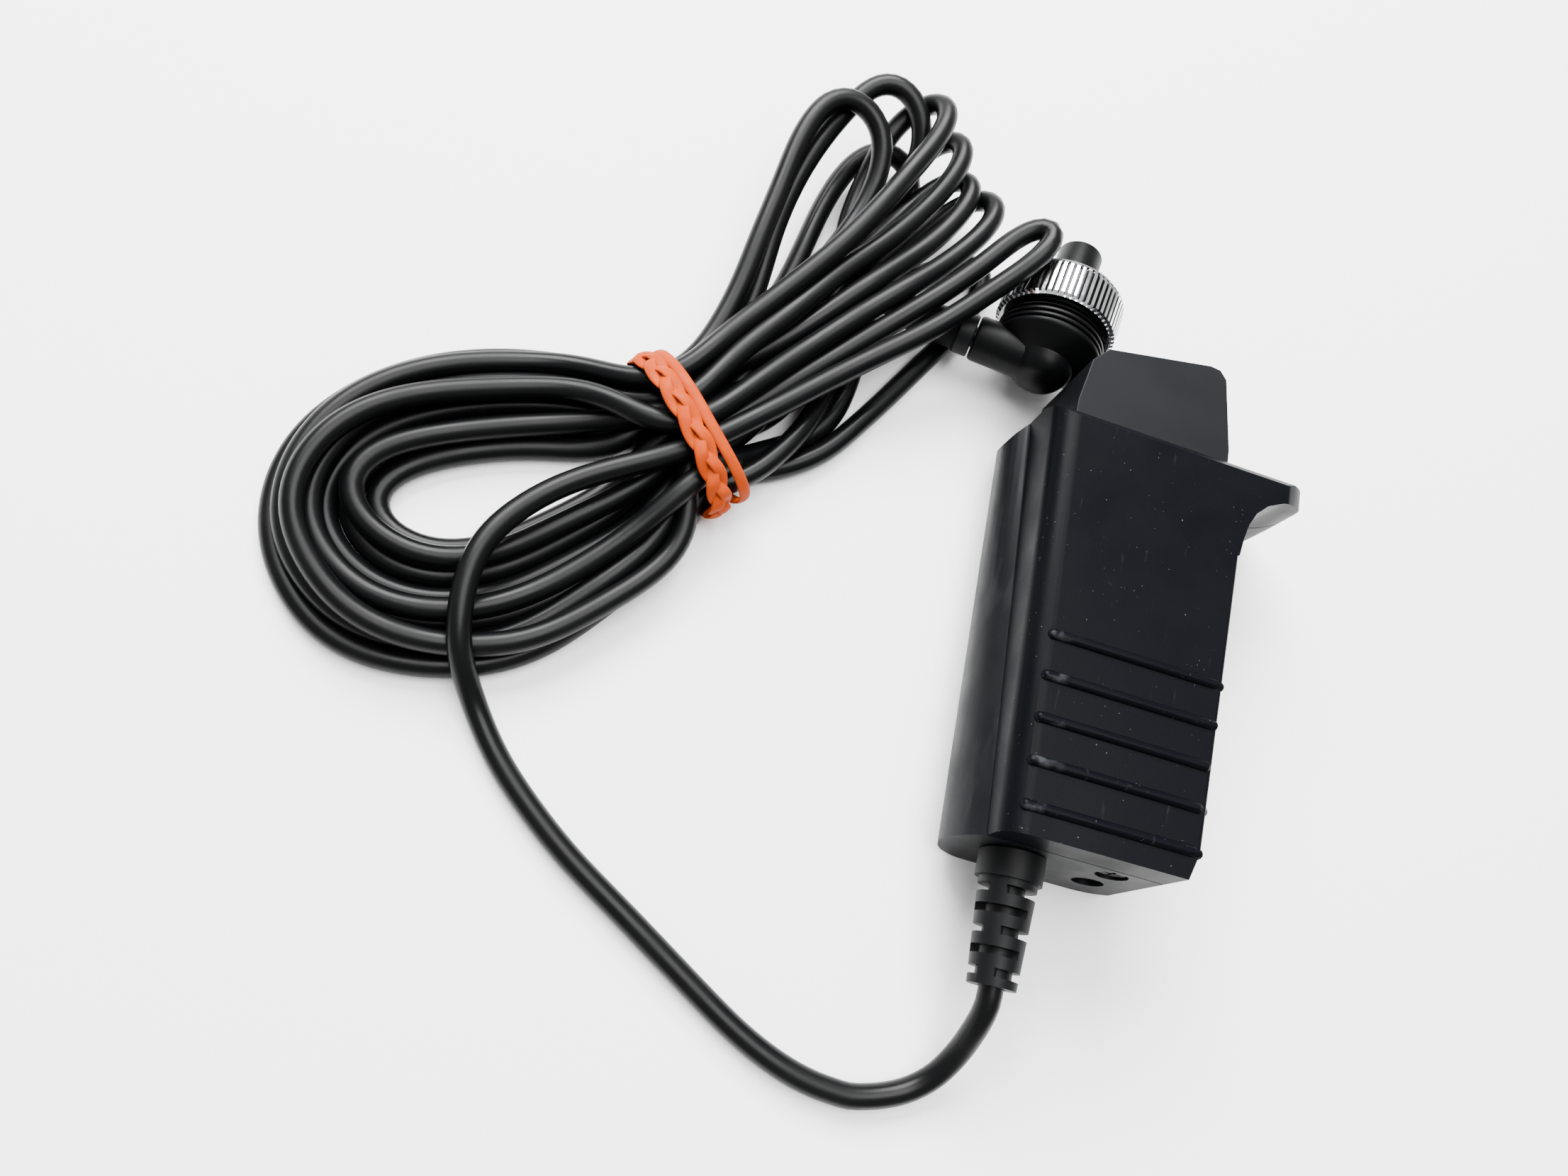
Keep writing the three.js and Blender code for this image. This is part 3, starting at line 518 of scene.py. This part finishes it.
def make_materials():
    """One material for each slot."""
    return {
        "black_shell": shell_material(),
        "grey_shell": palm_material(),
        "button": moulded("button", (0.0035, 0.0039, 0.0048), 0.42, 0.52, specular=0.09).material,
        "inner_plastic": moulded("inner_plastic", (0.08, 0.08, 0.085), 0.5, 0.6).material,
        "soft_rubber": moulded("soft_rubber", (0.0018, 0.002, 0.0024), 0.4, 0.55, specular=0.1).material,
        "cord_vinyl": moulded("cord_vinyl", BLACK_VINYL, 0.3, 0.42, 900.0, 0.00003, 0.13).material,
        "wire_red": moulded("wire_red", (0.5, 0.03, 0.02), 0.4, 0.5).material,
        "wire_yellow": moulded("wire_yellow", (0.6, 0.42, 0.05), 0.4, 0.5).material,
        "band_rubber": band_material(),
        "plug_plastic": moulded("plug_plastic", BLACK_VINYL, 0.34, 0.46, specular=0.07).material,
        "chrome_ring": chrome_material("chrome_ring", 0.08, 0.22),
        # dark metal for the ring's knurl grooves and inside: painted shade in those recesses
        "knurl_painted_shade": metal("knurl_painted_shade", (0.035, 0.035, 0.037), 0.4),
        "contact_brass": metal("contact_brass", (0.62, 0.45, 0.16), 0.3),
        "steel": metal("steel", (0.5, 0.5, 0.51), 0.3),
        "dark_steel": metal("dark_steel", (0.008, 0.008, 0.009), 0.5),
    }


materials = make_materials()


def finish_as(piece, slot, body="housing", replaced=()):
    """Gives a new piece its material, slot and body, and hides the CAD nodes that it stands for."""
    if not piece.data.materials:
        piece.data.materials.append(materials[slot])
    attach(piece, body)
    if replaced:
        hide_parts(*replaced)


def dress_cad_nodes():
    """Every CAD node gets the material of its slot."""
    for part in frame["record"]["subparts"]:
        data = bpy.data.objects[part["node"]].data
        data.materials.clear()
        data.materials.append(materials[part["material_slot"]])


dress_cad_nodes()


# ------------------------------------------------------------------ solids

def apply_modifiers(piece):
    """Turns a piece's modifiers into plain mesh."""
    graph = bpy.context.evaluated_depsgraph_get()
    graph.update()
    solid = bpy.data.meshes.new_from_object(piece.evaluated_get(graph))
    piece.modifiers.clear()
    piece.data = solid


def shade_smooth(piece, degrees=32):
    """Smooth faces that meet at less than an angle; sharper edges stay sharp."""
    mesh = piece.data
    shape = bmesh.new()
    shape.from_mesh(mesh)
    for face in shape.faces:
        face.smooth = True
    for edge in shape.edges:
        if len(edge.link_faces) == 2:
            edge.smooth = edge.calc_face_angle(0.0) < math.radians(degrees)
    shape.to_mesh(mesh)
    shape.free()


def refined(node, name, width, segments=3, degrees=34):
    """A copy of a CAD node's solid with its sharp edges rounded over, width in millimetres."""
    source = bpy.data.objects[node]
    piece = link(name, source.data.copy())
    piece.data.materials.clear()
    shape = bmesh.new()
    shape.from_mesh(piece.data)
    bmesh.ops.remove_doubles(shape, verts=shape.verts, dist=0.000002)
    bmesh.ops.dissolve_limit(shape, angle_limit=math.radians(0.6), verts=shape.verts, edges=shape.edges)
    shape.to_mesh(piece.data)
    shape.free()
    bevel = piece.modifiers.new("rounding", "BEVEL")
    bevel.width = width * MM
    bevel.segments = segments
    bevel.limit_method = "ANGLE"
    bevel.angle_limit = math.radians(degrees)
    bevel.harden_normals = False
    apply_modifiers(piece)
    shade_smooth(piece, 40)
    smooth = piece.modifiers.new("normals", "WEIGHTED_NORMAL")
    smooth.keep_sharp = True
    apply_modifiers(piece)
    return piece


def lathe(name, profile, sides=72, place=None, wave=None):
    """A piece turned about +Y, its closed profile given as (radius, y) in millimetres. wave(angle,
    radius, y) may change the radius. place is the matrix that puts it in the row's frame."""
    shape = bmesh.new()
    rings = []
    for i in range(sides):
        angle = 2 * math.pi * i / sides
        ring = []
        for radius, y in profile:
            r = wave(angle, radius, y) if wave else radius
            ring.append(shape.verts.new((r * math.cos(angle), y, r * math.sin(angle))))
        rings.append(ring)
    count = len(profile)
    for i in range(sides):
        a, b = rings[i], rings[(i + 1) % sides]
        for k in range(count):
            n = (k + 1) % count
            if profile[k][0] == 0 and profile[n][0] == 0:
                continue
            shape.faces.new((a[k], a[n], b[n], b[k]))
    bmesh.ops.remove_doubles(shape, verts=shape.verts, dist=0.0001)
    bmesh.ops.recalc_face_normals(shape, faces=shape.faces)
    mesh = bpy.data.meshes.new(name)
    shape.to_mesh(mesh)
    shape.free()
    if place is not None:
        mesh.transform(place)
    piece = link(name, mesh)
    shade_smooth(piece)
    return piece


def ribbon(name, points, normals, half_width, half_thick, sides=12):
    """A closed loop of rounded ribbon; points and their outward normals are in the bundle's frame."""
    points = np.array(points, float)
    normals = np.array(normals, float)
    along = np.roll(points, -1, axis=0) - np.roll(points, 1, axis=0)
    along /= np.linalg.norm(along, axis=1)[:, None]
    across = np.cross(along, normals)
    across /= np.linalg.norm(across, axis=1)[:, None]
    count = len(points)
    rings = []
    for k in range(sides):
        angle = 2 * math.pi * k / sides
        sideways = across * half_width * math.cos(angle)
        rings.append(points + sideways + normals * half_thick * math.sin(angle))
    verts = from_bundle(np.concatenate(rings))
    faces = []
    for k in range(sides):
        for i in range(count):
            n, m = (i + 1) % count, (k + 1) % sides
            faces.append((k * count + i, k * count + n, m * count + n, m * count + i))
    mesh = bpy.data.meshes.new(name)
    mesh.from_pydata([tuple(metres(v)) for v in verts], [], faces)
    piece = link(name, mesh)
    shape = bmesh.new()
    shape.from_mesh(mesh)
    bmesh.ops.recalc_face_normals(shape, faces=shape.faces)
    shape.to_mesh(mesh)
    shape.free()
    shade_smooth(piece, 80)
    return piece


def join(pieces, name):
    """Several meshes as one piece."""
    shape = bmesh.new()
    for piece in pieces:
        shape.from_mesh(piece.data)
    mesh = bpy.data.meshes.new(name)
    shape.to_mesh(mesh)
    shape.free()
    for material in pieces[0].data.materials:
        mesh.materials.append(material)
    for piece in pieces:
        bpy.data.objects.remove(piece)
    return link(name, mesh)


# Frames for turned pieces: millimetres about a piece's own origin into metres in the row's frame.
ABOUT_GRIP = Matrix.Diagonal((MM, MM, MM, 1)) @ Matrix.Translation(-GRIP_CENTRE)
ABOUT_PLUG = ABOUT_GRIP @ PLUG_PLACE


# ------------------------------------------------------------------ the grip

def make_grip():
    """Both shells and the button, from the CAD's, with their edges rounded."""
    label = refined("label_shell", "label_shell_fine", 0.35)
    finish_as(label, "black_shell", replaced=["label_shell"])
    palm = refined("palm_shell", "palm_shell_fine", 0.5)
    finish_as(palm, "grey_shell", replaced=["palm_shell"])
    button = refined("trigger_button", "trigger_button_fine", 0.9, 4)
    finish_as(button, "button", body="button", replaced=["trigger_button"])


# ------------------------------------------------------------------ the boot

def make_boot():
    """The slotted boot, from the CAD's, with its edges barely rounded."""
    boot = refined("strain_relief", "boot", 0.12, 2)
    finish_as(boot, "soft_rubber", replaced=["strain_relief"])


# ------------------------------------------------------------------ the plug

KNURLS = 60
KNURL_DEPTH = 0.7
KNURL_STEPS = 8                          # points round each knurl
GROOVE_STEPS = 3                         # of which this many are in its groove


def make_ring():
    """Lock ring with straight knurls, painted shade in their grooves and inside, and a plain bright lip
    at its front.
    """
    end = RING_START + RING_LENGTH
    profile = [
        (9.1, RING_START), (10.6, RING_START), (11, RING_START + 0.25), (RING_RADIUS, RING_START + 0.5),
        (RING_RADIUS, end - 0.9), (10.95, end - 0.8), (10.95, end - 0.65), (11.3, end - 0.5),
        (11.2, end - 0.15), (10.9, end), (7.1, end), (6.8, end - 0.3), (6.8, RING_START + 5.5),
        (9.1, RING_START + 4.6),
    ]

    def wave(angle, radius, y):
        step = round(angle / (2 * math.pi) * KNURLS * KNURL_STEPS)
        knurled = radius >= 10.9 and y < end - 0.7
        grooved = step % KNURL_STEPS < GROOVE_STEPS
        return radius - KNURL_DEPTH if knurled and grooved else radius

    ring = lathe("lock_ring_fine", profile, KNURLS * KNURL_STEPS, ABOUT_PLUG, wave)
    ring.data.materials.append(materials["chrome_ring"])
    ring.data.materials.append(materials["knurl_painted_shade"])
    axis_at = ABOUT_PLUG @ Vector((0, 0, 0))
    axis = (ABOUT_PLUG @ Vector((0, 1000, 0)) - axis_at).normalized()
    # Faces deep in the knurl band and inside the ring take the dark second material: painted shade in the
    # grooves and recesses.
    for face in ring.data.polygons:
        away = face.center - axis_at
        height = away.dot(axis) / MM
        radius = (away - axis * away.dot(axis)).length / MM
        if (radius < RING_RADIUS - 0.3 and RING_START + 0.4 < height < end - 0.85) or radius < 9.5:
            face.material_index = 1
        face.use_smooth = False
    finish_as(ring, "chrome_ring", body="ring", replaced=["lock_ring"])


# The side arm and the sleeve are turned about the plug's -X.
ABOUT_ARM = ABOUT_PLUG @ Matrix.Rotation(math.radians(90), 4, "Z")


def make_elbow():
    """The domed housing with three ridges, its side arm and its flush cap."""
    housing = [(0, -4.8), (2.9, -4.7), (4.1, -4.1), (4.95, -3.2), (5.5, -2.1), (6, -0.8), (9.8, 1.75),
               (10.1, 2.1)]
    for i in range(3):
        y = 2.2 + 1.2 * i
        housing += [(10.2, y + 0.15), (10.2, y + 0.55), (10.05, y + 0.72), (9.5, y + 0.8),
                    (9.5, y + 1.1), (10.05, y + 1.18)]
    housing += [(10.2, HOUSING_END - 0.35), (10, HOUSING_END), (0, HOUSING_END)]
    elbow_body = lathe("elbow_body", housing, 96, ABOUT_PLUG)
    arm = lathe("arm", [
        (0, 0), (4.3, 0), (4.3, ARM_END - 0.7), (4.1, ARM_END - 0.2), (3.8, ARM_END), (2.2, ARM_END),
        (2.2, 9), (0, 9),
    ], 48, ABOUT_ARM)
    elbow = join([elbow_body, arm], "elbow")
    finish_as(elbow, "plug_plastic", replaced=["plug_elbow"])
    cap = lathe("cap", [(0, -4.9), (2.1, -4.9), (2.5, -4.7), (2.6, -4.4), (0, -4.4)], 48, ABOUT_PLUG)
    finish_as(cap, "plug_plastic", replaced=["plug_cap"])


def make_collar():
    """The neck between the housing and the ring."""
    front = RING_START + RING_LENGTH + 0.4
    neck = HOUSING_END + 0.3
    collar = lathe("collar", [
        (3, neck), (8.4, neck), (8.6, neck + 0.2), (8.6, 9.8), (6.4, 9.8), (6.4, front - 0.2),
        (6.2, front), (5.6, front), (5.6, 7.6), (3, 7.6),
    ], 72, ABOUT_PLUG)
    finish_as(collar, "plug_plastic", replaced=["plug_collar"])


def make_nose():
    """The tube inside the ring that enters the socket."""
    start = RING_START + 0.4
    tip = RING_START + RING_LENGTH + 11
    nose = lathe("nose", [
        (2.6, start), (5.2, start), (5.2, start + 6), (4.3, start + 6.4), (4.3, tip - 0.5),
        (4.15, tip - 0.15), (3.8, tip), (3.5, tip), (3.3, tip - 0.2), (3.3, start + 9.6),
        (2.6, start + 9.6),
    ], 64, ABOUT_PLUG)
    finish_as(nose, "plug_plastic", replaced=["plug_nose"])


def make_sleeve():
    """The cord's sleeve, where it enters the side arm."""
    sleeve = lathe("sleeve", [
        (2.3, 13.7), (3.8, 13.7), (4, 13.9), (4, 16.5), (3.8, 16.8), (3.6, 17.1), (3.1, 28.3),
        (2.8, 28.7), (2.3, 28.7),
    ], 48, ABOUT_ARM)
    finish_as(sleeve, "soft_rubber", replaced=["plug_sleeve"])


# ------------------------------------------------------------------ the elastic band

BAND_STRANDS = 3
BAND_PERIODS = 5
BRAID_SWAY = 1.15                        # how far each strand sways sideways, millimetres
BRAID_RISE = 0.45                        # and how far it rises over its neighbours
BRAID_TILT = 0.35
BRAID_X = -0.9                           # the braid's middle along the bundle
BRAID_LIFT = 0.75                        # above the strands that it ties
BRAID_HALF = (1.15, 0.42)                # half width and half thickness of one strand
PLAIN_X = 2.1
PLAIN_LEAN = 1.3                         # how far the plain strand wanders off where y is low
PLAIN_LIFT = 0.6
PLAIN_HALF = (1.05, 0.4)
BAND_STEPS = 220
BAND_FLOOR = 0.0002                      # metres above the surface


def tie_oval(angle, grow):
    """A point on the tie's oval and its outward direction, y and z in the bundle's frame."""
    half_y = TIE_HALF[0] + CORD_D / 2 + grow
    half_z = TIE_HALF[1] + CORD_D / 2 + grow
    c, s = math.cos(angle), math.sin(angle)
    out = Vector((c / half_y, s / half_z)).normalized()
    return TIE_MIDDLE[0] + half_y * c, TIE_MIDDLE[1] + half_z * s, out


def braid_strand(k):
    """One of the braid's strands, swaying sideways and over its neighbours."""
    points = []
    normals = []
    for i in range(BAND_STEPS):
        angle = 2 * math.pi * i / BAND_STEPS
        phase = BAND_PERIODS * angle + 2 * math.pi * k / BAND_STRANDS
        y, z, out = tie_oval(angle, BRAID_LIFT + BRAID_RISE * math.sin(2 * phase))
        points.append((BRAID_SWAY * math.sin(phase) + BRAID_X, y, z))
        tilt = BRAID_TILT * math.cos(phase)
        normals.append((math.sin(tilt), out.x * math.cos(tilt), out.y * math.cos(tilt)))
    return ribbon(f"strand_{k}", points, normals, *BRAID_HALF)


def plain_strand():
    """The strand beside the braid."""
    points = []
    normals = []
    for i in range(BAND_STEPS):
        angle = 2 * math.pi * i / BAND_STEPS
        y, z, out = tie_oval(angle, PLAIN_LIFT)
        lean = PLAIN_X + PLAIN_LEAN * max(0, (TIE_MIDDLE[0] - y) / TIE_HALF[0]) ** 2
        points.append((lean, y, z))
        normals.append((0, out.x, out.y))
    return ribbon("strand_flat", points, normals, *PLAIN_HALF)


def make_band():
    """One elastic band: three flat strands in a braid, and a plain one beside it."""
    pieces = [braid_strand(k) for k in range(BAND_STRANDS)] + [plain_strand()]
    band = join(pieces, "band")
    for vertex in band.data.vertices:
        vertex.co.z = max(vertex.co.z, BAND_FLOOR)
    finish_as(band, "band_rubber", replaced=["elastic_band"])


make_grip()
make_boot()
make_ring()
make_elbow()
make_collar()
make_nose()
make_sleeve()
make_band()


# ------------------------------------------------------------------ floor, light and world

def make_stage():
    """The white surface that everything lies on."""
    data = bpy.data.meshes.new("floor")
    data.from_pydata([(-2, -2, 0), (2, -2, 0), (2, 2, 0), (-2, 2, 0)], [], [(0, 1, 2, 3)])
    floor = link("floor", data)
    data.materials.append(Shader("floor", (0.9, 0.9, 0.905), 0.55, specular=0.2).material)


def area_light(name, at, aim, size, power):
    data = bpy.data.lights.new(name, "AREA")
    data.shape = "RECTANGLE"
    data.size, data.size_y = size
    data.energy = power
    lamp = link(name, data)
    lamp.location = at
    lamp.rotation_euler = (Vector(aim) - Vector(at)).to_track_quat("-Z", "Y").to_euler()


def make_light():
    """A window, a ceiling and a bright room."""
    area_light("window", (-0.35, 0.75, 0.75), (-0.03, 0.02, 0), (0.9, 0.6), 62)
    area_light("ceiling", (0.05, 0.1, 1.1), (-0.03, 0.0, 0), (0.8, 0.8), 28)
    world = bpy.data.worlds.new("room")
    bpy.context.scene.world = world
    world.use_nodes = True
    background = world.node_tree.nodes["Background"]
    background.inputs["Color"].default_value = (1, 1, 1, 1)
    background.inputs["Strength"].default_value = 0.75


make_stage()
make_light()


finish_as(cord, "cord_vinyl", replaced=["cord_lead", "cord_left_lobe", "cord_waist", "cord_right_lobe",
                                        "cord_end"])
